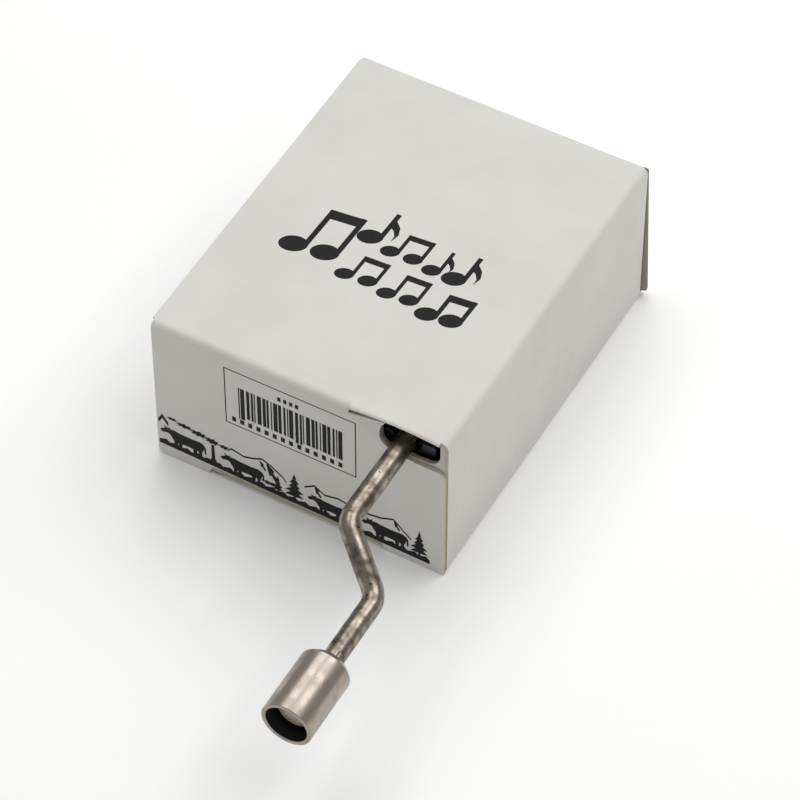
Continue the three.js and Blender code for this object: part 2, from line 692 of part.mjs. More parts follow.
function combFixings() {
  const top = COMB_TOP + CLAMP_THICK;
  const half = COMB_SCREW_APART / 2 + 2.9;
  const bar = roundedRect(
    COMB_X - half, COMB_X + half, COMB_SCREW_Y - CLAMP_DEPTH / 2, COMB_SCREW_Y + CLAMP_DEPTH / 2, 0.8);
  const holes = [-1, 1].map((s) => combScrewHole(s, COMB_SCREW_R + 0.2));
  place("comb_clamp_bar", prism("z", COMB_TOP, top, bar, holes), BRASS);
  for (const [side, s] of [["left", -1], ["right", 1]])
    screw("comb_screw_" + side, combScrewX(s), COMB_SCREW_Y, top, COMB_SCREW_R, 2 * COMB_SCREW_R, 1.1, 6);
}

// ---------- bedplate ----------
// Open-topped cradle post for a shaft bush.
function cradlePost(y0, y1, low) {
  const x0 = SHAFT_X - CRADLE_HALF;
  const x1 = SHAFT_X + CRADLE_HALF;
  const top = SHAFT_Z + 0.2;
  const r = BUSH_R + SEAT_GAP;
  return plateXZ(y0, y1, [
    [x0, low],
    [x1, low],
    [x1, top],
    [SHAFT_X + r, top],
    ...arc(SHAFT_X, SHAFT_Z, r, 0, -180, 14),
    [SHAFT_X - r, top],
    [x0, top],
  ]);
}

function arborPost(x0, x1) {
  const y = CYL_Y;
  const top = CYL_Z + 3;
  const outline = [
    [y - 4, BED_TOP - 0.5], [y + 4, BED_TOP - 0.5], [y + 2.8, top - 1], [y + 1.8, top],
    [y - 1.8, top], [y - 2.8, top - 1],
  ];
  return prism("x", x0, x1, outline, [circle(y, CYL_Z, ARBOR_R + RUN_GAP, 16)]);
}

// Base plate with its window under the cylinder, posts, comb seat, feet and holes.
function bedplate() {
  const edge = roundedRect(-BED_X, BED_X, -BED_Y, BED_Y, 2);
  const window = roundedRect(
    CYL_LEFT - 0.9, RIGHT_POST[0] - 0.3, FRONT_POST[1] + 0.3, CYL_Y + WHEEL_PITCH_R + 1, 1);
  const plate = prism("z", BED_LOW, BED_TOP, edge, [window]);
  const seatHalf = (TRACKS / 2) * TRACK_PITCH + 1.9;
  const added = [
    cradlePost(...FRONT_POST, BED_LOW + 0.2),
    cradlePost(...REAR_POST, BED_TOP - 0.5),
    arborPost(...LEFT_POST),
    arborPost(...RIGHT_POST),
    block(COMB_X - seatHalf, COMB_X + seatHalf, COMB_SEAT_Y, COMB_BACK_Y + 0.9, BED_TOP - 0.5, COMB_LOW),
  ];
  const padX = BED_X - 3.1;
  const padY = BACK - 13.25;
  for (const [x, y] of [[-padX, -padY], [-padX, padY], [padX, padY], [padX - 0.9, REAR_POST[1] + 1.2]])
    added.push(prism("z", CARD, BED_LOW + 0.5, circle(x, y, FOOT_PAD_R, 20)));
  const cuts = [];
  for (const s of [-1, 1]) {
    cuts.push(prism("z", COMB_LOW - 5.5, COMB_LOW + 1, combScrewHole(s, COMB_SCREW_R + 0.02)));
    for (const [y0, y1] of [FRONT_POST, REAR_POST])
      cuts.push(prism("z", SHAFT_Z - 2.6, SHAFT_Z + 1,
        circle(SHAFT_X + s * LUG_X, (y0 + y1) / 2, SADDLE_SCREW_R + 0.02, 12)));
    for (const y of [BED_Y - 3.7, BED_Y - 20.2])
      cuts.push(prism("z", BED_LOW - 1, BED_TOP + 1, circle(s * (BED_X - 2.6), y, 1.3, 16)));
  }
  place("bedplate", combine(plate, added, cuts), ZINC);
}

// Bush in a cradle post, with a flange on its inner side, and the saddle that holds it down.
function shaftSupport(which, y0, y1, inner) {
  const hole = [circle(SHAFT_X, SHAFT_Z, WIRE_R + RUN_GAP, 16)];
  const bushY = inner > 0 ? [y0 + 0.8, y1 + BUSH_FLANGE] : [y0 - BUSH_FLANGE, y1 - 0.2];
  const body = plateXZ(...bushY, circle(SHAFT_X, SHAFT_Z, BUSH_R, 28), hole);
  const flangeY = inner > 0
    ? [y1 + SEAT_GAP, y1 + BUSH_FLANGE]
    : [y0 - BUSH_FLANGE, y0 - SEAT_GAP];
  const flange = plateXZ(...flangeY, circle(SHAFT_X, SHAFT_Z, BUSH_R + BUSH_FLANGE, 28), hole);
  place("shaft_bush_" + which, combine(body, [flange]), BLACK_PLASTIC);
  const r = BUSH_R + SEAT_GAP;
  const thick = SADDLE_THICK;
  const base = SHAFT_Z + 0.2;
  const up = (angle) => THREE.MathUtils.radToDeg(angle);
  const inAngle = up(Math.asin(0.2 / r));
  const outAngle = up(Math.asin((0.2 + thick) / (r + thick)));
  const saddle = plateXZ(y0 + 0.9, y1 - 0.1, [
    [SHAFT_X - CRADLE_HALF, base],
    ...arc(SHAFT_X, SHAFT_Z, r, 180 - inAngle, inAngle, 14),
    [SHAFT_X + CRADLE_HALF, base],
    [SHAFT_X + CRADLE_HALF, base + thick],
    ...arc(SHAFT_X, SHAFT_Z, r + thick, outAngle, 180 - outAngle, 14),
    [SHAFT_X - CRADLE_HALF, base + thick],
  ]);
  const mid = (y0 + y1) / 2;
  const holes = [-1, 1].map((s) => prism("z", base - 1, base + 1, 
    circle(SHAFT_X + s * LUG_X, mid, SADDLE_SCREW_R + 0.05, 12)));
  place("bush_saddle_" + which, combine(saddle, [], holes), STEEL);
  for (const [side, s] of [["left", -1], ["right", 1]])
    screw("saddle_screw_" + which + "_" + side, SHAFT_X + s * LUG_X, mid, base + thick,
      SADDLE_SCREW_R, 1.7 * SADDLE_SCREW_R, 0.5, 2.2);
}

carton();
frontFlap();
backFlap();
dustFlaps();
crankWire();
knob();
worm();
thrustCollar();
cylinder();
cylinderEnds();
wormWheel();
comb();
combFixings();
bedplate();
shaftSupport("front", ...FRONT_POST, 1);
shaftSupport("rear", ...REAR_POST, -1);

export default group;
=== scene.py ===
# %% [markdown]
# # A hand-cranked music box in a card carton
# This lesson dresses an engineering model of a small music box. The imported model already
# holds every piece at its true size and place. Pieces whose looks need soft folds or fine
# rounding are modelled again here by hand, and the others keep their mesh and get a finish.

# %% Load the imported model
import math
import bmesh
import bpy
from mathutils import Matrix, Vector


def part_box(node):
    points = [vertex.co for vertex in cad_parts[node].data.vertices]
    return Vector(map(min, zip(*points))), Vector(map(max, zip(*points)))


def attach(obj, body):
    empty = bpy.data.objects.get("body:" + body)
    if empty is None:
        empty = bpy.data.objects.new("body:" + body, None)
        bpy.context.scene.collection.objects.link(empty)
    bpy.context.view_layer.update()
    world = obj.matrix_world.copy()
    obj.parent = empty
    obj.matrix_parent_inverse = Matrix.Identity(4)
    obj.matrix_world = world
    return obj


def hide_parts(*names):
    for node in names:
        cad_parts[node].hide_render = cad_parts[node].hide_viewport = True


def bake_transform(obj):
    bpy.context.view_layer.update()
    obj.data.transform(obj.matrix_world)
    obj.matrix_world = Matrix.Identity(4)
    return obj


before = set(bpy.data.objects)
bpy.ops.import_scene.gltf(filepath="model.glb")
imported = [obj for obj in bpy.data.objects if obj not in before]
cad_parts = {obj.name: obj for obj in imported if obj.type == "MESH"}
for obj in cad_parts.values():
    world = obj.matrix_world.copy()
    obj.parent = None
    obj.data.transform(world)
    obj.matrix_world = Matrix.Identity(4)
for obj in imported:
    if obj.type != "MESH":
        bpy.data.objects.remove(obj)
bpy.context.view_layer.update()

MM = 0.001

# %% [markdown]
# ## Camera
# The object is seen from the crank's end, from its right and well above, through a long
# lens, so that its edges stay nearly parallel. The camera is placed by turning round a point
# at the carton's middle and then sliding sideways and down, which keeps the lens unshifted.

# %% Place the camera
AZIMUTH, ELEVATION = math.radians(29.1886), math.radians(49.3650)
DISTANCE, SLIDE_RIGHT, SLIDE_UP = 494.397 * MM, -0.4455 * MM, -11.1559 * MM
LENS, SENSOR = 182.386, 36
sleeve_low, sleeve_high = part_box("carton_sleeve")
aim = Vector((0, 0, (sleeve_low.z + sleeve_high.z) / 2))
towards = Vector((math.sin(AZIMUTH) * math.cos(ELEVATION),
                  -math.cos(AZIMUTH) * math.cos(ELEVATION), math.sin(ELEVATION)))
right = Vector((0, 0, 1)).cross(towards).normalized()
up = towards.cross(right)
bpy.ops.object.camera_add()
camera = bpy.context.active_object
camera.matrix_world = Matrix.Translation(
    aim + DISTANCE * towards + SLIDE_RIGHT * right + SLIDE_UP * up
) @ Matrix((right, up, towards)).transposed().to_4x4()
camera.data.lens, camera.data.sensor_width = LENS, SENSOR
camera.data.clip_start, camera.data.clip_end = 0.01, 20
bpy.context.scene.camera = camera
print("camera at", [round(v, 4) for v in camera.matrix_world.translation])

# %% [markdown]
# ## Working by hand in code
# Every operator acts on what is selected, so a few helpers select faces, edges or points by
# their place, given in millimetres. They are the only thing added to Blender's own tools.

# %% Helpers for selecting and shaping
def fresh():
    if bpy.context.object and bpy.context.object.mode != "OBJECT":
        bpy.ops.object.mode_set(mode="OBJECT")
    bpy.ops.object.select_all(action="DESELECT")


def start(name, scale=(1, 1, 1)):
    piece = bpy.context.active_object
    piece.name = piece.data.name = name
    piece.scale = scale
    bpy.ops.object.transform_apply(location=True, rotation=True, scale=True)
    bpy.ops.object.mode_set(mode="EDIT")
    return piece


def take(piece, mode="OBJECT"):
    """Makes one piece the active and only selected one, in the mode asked for."""
    fresh()
    piece.select_set(True)
    bpy.context.view_layer.objects.active = piece
    bpy.ops.object.mode_set(mode=mode)


def pick(kind, rule, way="all"):
    """Selects the vertices, edges or faces whose points all (or whose middle) fit rule(x, y, z), in mm."""
    bpy.ops.mesh.select_mode(type=kind)
    bpy.ops.mesh.select_all(action="DESELECT")
    data = bpy.context.edit_object.data
    mesh = bmesh.from_edit_mesh(data)
    count = 0
    for part in {"VERT": mesh.verts, "EDGE": mesh.edges, "FACE": mesh.faces}[kind]:
        points = [part.co] if kind == "VERT" else [v.co for v in part.verts]
        if way == "middle":
            points = [sum(points, Vector()) / len(points)]
        if all(rule(*(p / MM)) for p in points):
            part.select_set(True)
            count += 1
    mesh.select_flush_mode()
    bmesh.update_edit_mesh(data)
    return count


def cut(axis, places, rule=lambda x, y, z: True):
    """Bisects the faces that fit rule(x, y, z) by planes across an axis, at places in mm."""
    normal = {"x": (1, 0, 0), "y": (0, 1, 0), "z": (0, 0, 1)}[axis]
    for place in places:
        pick("FACE", rule)
        bpy.ops.mesh.bisect(plane_co=[place * MM * n for n in normal], plane_no=normal)


def move(x=0.0, y=0.0, z=0.0):
    bpy.ops.transform.translate(value=(x * MM, y * MM, z * MM))


def extrude(x=0.0, y=0.0, z=0.0):
    bpy.ops.mesh.extrude_region_move(
        TRANSFORM_OT_translate={"value": (x * MM, y * MM, z * MM)})


def finish_shape(angle=30):
    """Leaves edit mode, shades smooth up to an angle and keeps large flats flat."""
    bpy.ops.object.mode_set(mode="OBJECT")
    piece = bpy.context.active_object
    bpy.ops.object.shade_smooth_by_angle(angle=math.radians(angle))
    bpy.ops.object.modifier_add(type="WEIGHTED_NORMAL")
    piece.modifiers[-1].keep_sharp = True
    bpy.ops.object.modifier_apply(modifier=piece.modifiers[-1].name)
    return piece


def report(piece):
    mesh = bmesh.new()
    mesh.from_mesh(piece.data)
    loose = sum(not e.is_manifold for e in mesh.edges)
    print(f"{piece.name}: {len(mesh.faces)} faces, {loose} open edges, "
          f"volume {mesh.calc_volume(signed=True) / MM ** 3:.2f} mm3")
    mesh.free()

# %% [markdown]
# ## The carton's sleeve
# A small carton is one sheet of coated greyboard, half a millimetre thick, wrapped round
# into a tube and glued along one side. It is modelled as it is folded: a channel of two
# walls and a bottom, a top panel that runs over from one wall, and the glue tab of the
# other wall beneath it. The folds are beveled soft, and Solidify gives the board thickness
# inwards, with its raw cut edge as a second material.
#
# One fault is known and left in. The left wall is drawn out together with the glue tab, which
# leaves a second upright wall inside the carton, under the tab's free edge, and a cap between
# the two walls at each end. The lower left fold stays sharp, and the mesh is not manifold
# there. With the rear flap open the rear cap is seen.

# %% Sizes of the carton
CARD = 0.5
FOLD = 1.0
NOSE = 0.55
TAB_WIDTH = 9
TAB_DROP = CARD + 0.05                          # the glue tab lies this far under the top panel
LIP_WIDTH = 12.8
LIP_MIDDLE, LIP_REACH, LIP_DEPTH = 13.2, 6.2, 5
LIFT = 0.42                                     # how far the lip is bent up by the wire
half_width = sleeve_high.x / MM
height = sleeve_high.z / MM
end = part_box("front_flap")[0].y / MM            # outside of the crank end's flap, below zero
fold_line = end + FOLD                          # where the top panel turns down into a flap
lip_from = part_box("front_flap")[1].x / MM - LIP_WIDTH  # the top panel runs on over the slot from here
lip_to = half_width - FOLD
print("carton", round(2 * half_width, 2), "x", round(-2 * end, 2), "x", round(height, 2), "mm")

# %% Fold the sleeve
fresh()
bpy.ops.mesh.primitive_cube_add(size=MM, location=(0, 0, height * MM / 2))
sleeve = start("sleeve_of_coated_card", (2 * half_width, -2 * (end + CARD), height))
pick("FACE", lambda x, y, z: z > height - 0.1)
bpy.ops.mesh.delete(type="FACE")
pick("FACE", lambda x, y, z: y < end + CARD + 0.1)
bpy.ops.mesh.delete(type="FACE")
pick("FACE", lambda x, y, z: y > -end - CARD - 0.1)
bpy.ops.mesh.delete(type="FACE")
pick("EDGE", lambda x, y, z: z > height - 0.1 and x > 0)
extrude(x=-2 * half_width)
pick("FACE", lambda x, y, z: x < -half_width + 0.1)
bpy.ops.mesh.select_mode(type="EDGE")
data = bmesh.from_edit_mesh(sleeve.data)
for edge in data.edges:
    edge.select_set(all(v.co.z / MM > height - 0.1 and v.co.x < 0 for v in edge.verts)
                    and any(f.calc_center_median().x / MM < -half_width + 0.1 for f in edge.link_faces))
bmesh.update_edit_mesh(sleeve.data)
move(z=-TAB_DROP)
extrude(x=TAB_WIDTH)
print("sleeve folded from", len(data.faces), "panels")

# %% Soften the four long folds
def is_fold(x, y, z):
    lengthwise = abs(y) < 0.01 and abs(abs(x) - half_width) < 0.01
    return lengthwise and (z < 0.01 or (x > 0 and z > height - 0.01)
                           or (x < 0 and abs(z - height + TAB_DROP) < 0.01))

folds = pick("EDGE", is_fold, way="middle")
bpy.ops.mesh.bevel(offset=FOLD * MM, segments=6, affect="EDGES")
print(folds, "folds rounded to", FOLD, "mm")

# %% Shape the lip over the crank's slot
on_top = lambda z: z > height - 0.01
panel = lambda x, y, z: on_top(z)
cut("x", [lip_from + step for step in (0, 1, 2, 4, 6, 8, 10, 11.2)], panel)
cut("y", [fold_line, end + 2, end + 3.2, end + 5, -fold_line], panel)
pick("FACE", lambda x, y, z: on_top(z) and y < fold_line + 0.01 and x < lip_from + 0.01)
bpy.ops.mesh.delete(type="FACE")
pick("FACE", lambda x, y, z: on_top(z) and y > -fold_line - 0.01 and x < lip_to + 0.01)
bpy.ops.mesh.delete(type="FACE")
pick("EDGE", lambda x, y, z: on_top(z) and y < end + CARD + 0.01 and lip_from - 0.01 < x < lip_to + 0.01)
nose = [(NOSE * math.sin(a), NOSE * math.cos(a)) for a in map(math.radians, (0, 16, 32, 48, 65))]
for (y0, z0), (y1, z1) in zip(nose, nose[1:]):
    extrude(y=y0 - y1, z=z1 - z0)
data = bmesh.from_edit_mesh(sleeve.data)
for vert in data.verts:
    x, y, z = vert.co / MM
    if z > height - 0.4 and lip_from - 0.5 < x < lip_to + 0.01 and (on_top(z) or y < end + CARD):
        across = max(0.0, 1 - abs((x - LIP_MIDDLE) / LIP_REACH) ** 2)
        outward = min(1.0, max(0.0, (end + LIP_DEPTH - y) / LIP_DEPTH))
        vert.co.z += LIFT * MM * across * outward ** 2
bmesh.update_edit_mesh(sleeve.data)
print("lip lifted to", round(max(v.co.z for v in data.verts) / MM, 2), "mm")

# %% Give the board its thickness
def thicken(piece):
    """Solidify inwards: the outside, the cut edge and the inside get material slots 0, 1 and 2."""
    bpy.ops.object.modifier_add(type="SOLIDIFY")
    board = piece.modifiers[-1]
    board.thickness, board.offset, board.use_even_offset = CARD * MM, -1, True
    board.material_offset_rim, board.material_offset = 1, 2
    for side in range(3):
        piece.data.materials.append(None)
    bpy.ops.object.modifier_apply(modifier=board.name)


bpy.ops.mesh.select_all(action="SELECT")
bpy.ops.mesh.normals_make_consistent(inside=False)
bpy.ops.object.mode_set(mode="OBJECT")
top = max((f for f in sleeve.data.polygons if on_top(f.center.z / MM)), key=lambda f: f.area)
print("the top panel faces", [round(v) for v in top.normal])
thicken(sleeve)
finish_shape()
report(sleeve)

# %% [markdown]
# ## The two closing flaps
# Each end of the carton is closed by a flap that folds down from the top panel. Its lower
# edge has a foot at each side, with the tuck tab's crease between them. Both flaps are cut
# from the same die, so one is drawn and the second is its copy, turned round. The crank
# end's flap then loses its right part of the fold and gets a long notch for the wire.

# %% Draw the flap with its feet
flap_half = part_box("back_flap")[1].x / MM
foot_left, foot_right = -half_width + 7.3, half_width - 8.2
crease = 1.52
FOOT_SLANT = 0.6
SPRING, SPRING_FROM = 0.75, 13   # the rear flap's free edge stands off the sleeve, from this x on
CORNER_CUT = 0.8                 # taken off the rear flap's fold at its free edge
OVERHANG, TAPER = 0.45, 0.05     # how far that edge lies wide of the wall, and less at the top
CREASE_CUT = 0.38
fresh()
bpy.ops.mesh.primitive_plane_add(
    size=MM, location=(0, end * MM, height * MM / 2), rotation=(math.radians(90), 0, 0))
back_flap = start("closing_flap_of_coated_card", (2 * flap_half, height, 1))
cut("x", [foot_left, foot_right])
cut("z", [crease])
pick("FACE", lambda x, y, z: z < crease + 0.01 and foot_left - 0.01 < x < foot_right + 0.01)
bpy.ops.mesh.delete(type="FACE")
pick("VERT", lambda x, y, z: z > crease - 0.01 and z < crease + 0.01 and abs(x - foot_left) < 0.01)
move(x=FOOT_SLANT)
pick("VERT", lambda x, y, z: z > crease - 0.01 and z < crease + 0.01 and abs(x - foot_right) < 0.01)
move(x=-FOOT_SLANT)
pick("VERT", lambda x, y, z: x < -flap_half + 0.01 and z < 0.01)
bpy.ops.mesh.bevel(offset=1.0 * MM, segments=5, affect="VERTICES")
print("flap outline has", len(bmesh.from_edit_mesh(back_flap.data).verts), "points")

# %% Fold it back into the top panel
pick("EDGE", lambda x, y, z: z > height - 0.01)
extrude(y=FOLD)
pick("EDGE", lambda x, y, z: z > height - 0.01 and y < end + 0.01)
bpy.ops.mesh.bevel(offset=(FOLD - 0.02) * MM, segments=6, affect="EDGES")
bpy.ops.mesh.select_all(action="SELECT")
bpy.ops.mesh.normals_make_consistent(inside=False)
bpy.ops.object.mode_set(mode="OBJECT")
print("normal of the flap's largest face:",
      [round(v) for v in max(back_flap.data.polygons, key=lambda f: f.area).normal])

# %% Copy it for the crank's end and turn the first one round
bpy.ops.object.duplicate()
front_flap = bpy.context.active_object
front_flap.name = front_flap.data.name = "crank_end_flap_of_coated_card"
take(back_flap, "EDIT")
bpy.ops.mesh.select_all(action="SELECT")
bpy.ops.transform.rotate(value=math.pi, orient_axis="Z", center_override=(0, 0, 0))
cut("x", [13, 15, 16.6, 18.2])
for vert in bmesh.from_edit_mesh(back_flap.data).verts:
    x, y, z = vert.co / MM
    if x > flap_half - 0.01 and z > height - FOLD:
        vert.co.x -= CORNER_CUT * MM * ((z - height + FOLD) / FOLD) ** 2
    if x > SPRING_FROM:
        free = min(1, max(0, (height - z) / 3))
        vert.co.y += SPRING * MM * ((x - SPRING_FROM) / (flap_half - SPRING_FROM)) ** 2 * free
    if x > flap_half - 0.01 and z < height - FOLD + 0.01:
        vert.co.x = (half_width + OVERHANG - TAPER * z / height) * MM
bmesh.update_edit_mesh(back_flap.data)
bpy.ops.object.mode_set(mode="OBJECT")
print("flaps at y =", round(front_flap.data.vertices[0].co.y / MM, 2),
      "and", round(back_flap.data.vertices[0].co.y / MM, 2))

# %% Notch the crank end's flap
slot_left, slot_low = 11.1, 19.08
below_top = height - 0.36
STEP_AT, STEP_DOWN, CORNER = 5.3, 0.5, 1.2   # the notch drops a little at its right, to a round corner
take(front_flap, "EDIT")
cut("x", [lip_from])
pick("FACE", lambda x, y, z: x > lip_from - 0.01 and (z > height - FOLD - 0.01))
bpy.ops.mesh.delete(type="FACE")
cut("z", [slot_low], lambda x, y, z: x > lip_from - 0.01)
cut("x", [slot_left, slot_left + STEP_AT], lambda x, y, z: x > lip_from - 0.01 and z > slot_low - 0.01)
pick("FACE", lambda x, y, z: x > slot_left - 0.01 and z > slot_low - 0.01)
bpy.ops.mesh.delete(type="FACE")
pick("VERT", lambda x, y, z: x > slot_left + 5 and abs(z - slot_low) < 0.01)
move(z=-STEP_DOWN)
pick("VERT", lambda x, y, z: x > lip_from + 0.01 and z > height - FOLD - 0.1)
move(z=below_top - height + FOLD)
pick("EDGE", lambda x, y, z: abs(x - slot_left) < 0.01 and z > slot_low - 0.01)
bpy.ops.mesh.subdivide(number_cuts=11)
radius, middle = (below_top - slot_low) / 2, (below_top + slot_low) / 2
for vert in bmesh.from_edit_mesh(front_flap.data).verts:
    x, y, z = vert.co / MM
    if abs(x - slot_left) < 0.01 and z > slot_low - 0.01:
        rounding = radius - math.sqrt(max(0, radius ** 2 - (z - middle) ** 2))
        vert.co.x += rounding * (1 if z < middle else 0.4) * MM
        if z > below_top - 0.01:
            vert.co.z += 0.3 * MM
bmesh.update_edit_mesh(front_flap.data)
pick("VERT", lambda x, y, z: x > flap_half - 0.01 and z > slot_low - 0.6)
bpy.ops.mesh.bevel(offset=CORNER * MM, segments=5, affect="VERTICES")
bpy.ops.object.mode_set(mode="OBJECT")
print("notched flap has", len(front_flap.data.polygons), "faces")

# %% Give both flaps the board's thickness
for flap in (front_flap, back_flap):
    take(flap)
    thicken(flap)
    if flap is back_flap:
        # the tuck tab turns on this crease, so the inner edge is cut back to let it pass
        for vert in flap.data.vertices:
            if abs(vert.co.z / MM - crease) < 0.1 and vert.co.y / MM < -end - CARD / 2:
                vert.co.z += CREASE_CUT * MM
    finish_shape()
    report(flap)

# %% [markdown]
# ## The crank
# The crank is a thick wire of 2.6 mm, bent twice and nickel plated. Its end is upset into a
# flat head inside the knob, and two small ears are staked out of it just above the knob, so
# that the knob can spin on the wire but not slide. An open ring is drawn out straight, spun
# round each bend's centre, and drawn out again, as the wire itself is fed and bent.

# %% The wire's path
WIRE = 1.3       # radius
BEND = 2.6       # radius of both bends, on the wire's centre line
BENDS_OUT = 12.55, 17.65   # how far the two bends lie out from the crank end
HEAD_LENGTH = 0.8
worm_low, worm_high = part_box("worm")
knob_low, knob_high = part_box("knob")
wire_low, wire_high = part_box("crank_wire")
shaft = (worm_low + worm_high) / 2
knob_middle = (knob_low + knob_high) / 2
path = [Vector((shaft.x, wire_high.y, shaft.z)) / MM,
        Vector((shaft.x / MM, end - BENDS_OUT[0], shaft.z / MM)),
        Vector((knob_middle.x / MM, end - BENDS_OUT[1], knob_middle.z / MM)),
        Vector((knob_middle.x / MM, wire_low.y / MM + HEAD_LENGTH, knob_middle.z / MM))]
print("wire corners:", [[round(v, 2) for v in p] for p in path])

# %% Draw and bend the wire
fresh()
bpy.ops.mesh.primitive_circle_add(vertices=32, radius=WIRE * MM, location=path[0] * MM,
                                  rotation=(math.radians(90), 0, 0))
wire = start("crank_wire_of_plated_steel")
bpy.ops.mesh.select_all(action="SELECT")
at = path[0].copy()
for before, corner, after in zip(path, path[1:], path[2:]):
    along, onward = (corner - before).normalized(), (after - corner).normalized()
    turn = along.angle(onward)
    reach = BEND * math.tan(turn / 2)
    straight = corner - reach * along - at
    extrude(*straight)
    inner = (onward - along).normalized()
    centre = corner + inner * BEND / math.cos(turn / 2)
    axis = along.cross(onward).normalized()
    bpy.ops.mesh.spin(steps=12, angle=turn, center=centre * MM, axis=-axis)
    at = corner + reach * onward
    ring = [v.co.copy() for v in bmesh.from_edit_mesh(wire.data).verts if v.select]
    print("after the bend at", [round(v / MM, 2) for v in sum(ring, Vector()) / len(ring)],
          "wanted", [round(v, 2) for v in at])
extrude(*(path[3] - at))

# %% Upset the head and close both ends
def resize(share, centre):
    bpy.ops.transform.resize(value=(share, 1, share), center_override=centre * MM)

HEAD_PROFILE = ((1.95, 0.0), (2.05, -0.12), (2.05, -0.5), (1.8, -0.12), (0.9, -0.04))
head, radius_before = path[3], WIRE
for radius_after, step in HEAD_PROFILE:
    extrude(y=step)
    head = head + Vector((0, step, 0))
    resize(radius_after / radius_before, head)
    radius_before = radius_after
bpy.ops.mesh.edge_face_add()
pick("EDGE", lambda x, y, z: y > path[0].y - 0.001)
extrude(y=0.0)
resize(0.7, path[0])
bpy.ops.mesh.edge_face_add()
pick("VERT", lambda x, y, z: abs(y - path[0].y) < 0.001
     and math.hypot(x - path[0].x, z - path[0].z) > WIRE - 0.1)
move(y=-0.3)
print("wire closed at both ends")

# %% Stake the two ears beside the knob
EAR_TURN, EAR_HEIGHT = math.radians(45), 0.3
ear_from, ear_to = knob_high.y / MM + 0.2, knob_high.y / MM + 1.3
cut("y", [ear_from, ear_to], lambda x, y, z: head.y + 0.5 < y < path[2].y - 1.3)
for side in (-1, 1):
    out = side * Vector((math.cos(EAR_TURN), 0, math.sin(EAR_TURN)))
    ears = pick("FACE", lambda x, y, z: ear_from < y < ear_to
                and (Vector((x, 0, z)) - Vector((path[3].x, 0, path[3].z))).dot(out) > WIRE - 0.1,
                way="middle")
    extrude(*(EAR_HEIGHT * out))
    bpy.ops.transform.resize(value=(0.8, 0.75, 0.8))
print(ears, "faces raised into each ear")
bpy.ops.mesh.select_all(action="SELECT")
bpy.ops.mesh.remove_doubles(threshold=0.002 * MM)
bpy.ops.mesh.normals_make_consistent(inside=False)
finish_shape(40)
for face in wire.data.polygons:
    face.material_index = int(face.center.y / MM < path[3].y + 0.01)
report(wire)

# %% [markdown]
# ## The knob
# The knob is a short turned tube with a bore at its open end, where the wire's head sits,
# and a chamfered shoulder at the other. Turned work has crisp but never sharp edges, so the
# chamfer comes first and its own edges are then broken by a small bevel.

# %% Turn the knob
knob_radius = (knob_high.x - knob_low.x) / 2 / MM
BORE, HOLE, BORE_DEPTH = 2.65, 1.35, 2.6
CHAMFER = 0.9
near, far = knob_high.y / MM, knob_low.y / MM
fresh()
bpy.ops.mesh.primitive_cylinder_add(
    vertices=64, radius=knob_radius * MM, depth=knob_high.y - knob_low.y,
    location=knob_middle, rotation=(math.radians(90), 0, 0))
knob = start("knob_turned_and_plated")
pick("FACE", lambda x, y, z: y < far + 0.01)
bpy.ops.mesh.inset(thickness=(knob_radius - BORE) * MM)
extrude(y=BORE_DEPTH)
bpy.ops.mesh.inset(thickness=(BORE - HOLE) * MM)
bpy.ops.mesh.delete(type="FACE")
pick("FACE", lambda x, y, z: y > near - 0.01)
bpy.ops.mesh.inset(thickness=(knob_radius - HOLE) * MM)
bpy.ops.mesh.delete(type="FACE")
from_axis = lambda x, z: math.hypot(x - knob_middle.x / MM, z - knob_middle.z / MM)
pick("EDGE", lambda x, y, z: from_axis(x, z) < HOLE + 0.1)
bpy.ops.mesh.bridge_edge_loops()
print("knob bored", BORE_DEPTH, "mm deep")

# %% Chamfer its shoulder and break its edges
pick("EDGE", lambda x, y, z: y > near - 0.01 and from_axis(x, z) > knob_radius - 0.1)
bpy.ops.mesh.bevel(offset=CHAMFER * MM, segments=1, affect="EDGES")
pick("EDGE", lambda x, y, z: (y > near - 0.01 and 1.5 < from_axis(x, z))
     or (abs(y - near + CHAMFER) < 0.01))
bpy.ops.mesh.bevel(offset=0.12 * MM, segments=3, affect="EDGES")
pick("EDGE", lambda x, y, z: y < far + 0.01)
bpy.ops.mesh.bevel(offset=0.1 * MM, segments=3, affect="EDGES")
bpy.ops.mesh.select_all(action="SELECT")
bpy.ops.mesh.normals_make_consistent(inside=False)
finish_shape(35)
for face in knob.data.polygons:
    x, y, z = face.center / MM
    face.material_index = int(from_axis(x, z) < BORE + 0.02 and far + 0.12 < y < far + BORE_DEPTH + 0.1)
report(knob)

# %% [markdown]
# ## Prints on the card
# The real carton is printed in one dark ink: a large motif on the top, a small framed bar
# label and an alpine border on the crank end. Ink has no thickness to speak of, but a
# separate thin mesh keeps each print crisp from any distance. Each outline is a flat curve,
# filled, given a few hundredths of a millimetre of body and then made a mesh. The motif here
# is a plain group of music notes, and the bars carry no code.

